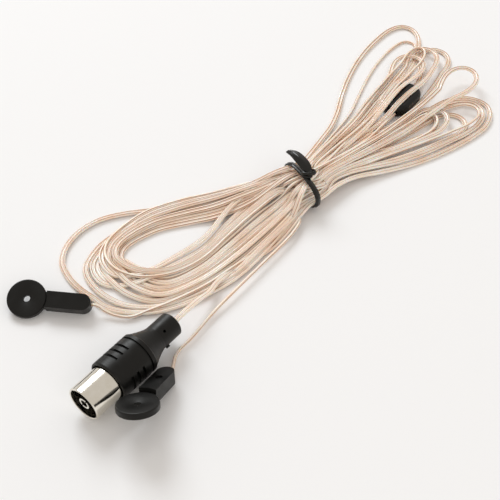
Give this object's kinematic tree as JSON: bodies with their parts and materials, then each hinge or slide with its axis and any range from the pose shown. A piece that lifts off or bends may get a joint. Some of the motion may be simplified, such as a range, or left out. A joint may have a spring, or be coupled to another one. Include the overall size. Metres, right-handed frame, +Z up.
{
  "type": "indoor FM antenna",
  "caption": "Indoor T-wire FM antenna with a clear figure-8 feeder hanked by a twist tie, a female coax plug, a junction moulding and two nail-up end discs",
  "frame": {"origin": "on the floor, at the bottom centre of the box round the plug, the three mouldings and the tie", "axes": "+Z up from the floor, +Y away from the camera along the longest extent, +X to the camera's right"},
  "size_m": [0.1615, 0.209, 0.0144],
  "materials": {
    "nickel_plate": "bright nickel plate on turned brass",
    "contact_metal": "bright nickel plate on brass",
    "black_insulator": "black moulded insulator",
    "core_mould": "black inner mould, hidden",
    "black_mould": "satin black soft PVC overmould",
    "black_disc": "fine-grained satin black moulding",
    "tie_plastic": "black plastic-coated wire ribbon",
    "splice_metal": "tinned crimp ferrule, hidden",
    "clear_cord": "clear glossy PVC over fine stranded copper"
  },
  "bodies": {
    "root": {"plug_sleeve": "nickel_plate", "plug_insulator": "black_insulator", "plug_contact": "contact_metal", "plug_core": "core_mould", "plug_boot": "black_mould", "feeder_lead": "clear_cord", "feeder_hank": "clear_cord", "junction_disc": "black_disc", "splice_left": "splice_metal", "splice_right": "splice_metal", "arm_left_lead": "clear_cord", "arm_right_lead": "clear_cord", "end_disc_left": "black_disc", "end_disc_right": "black_disc", "twist_tie": "tie_plastic"}
  },
  "joints": []
}
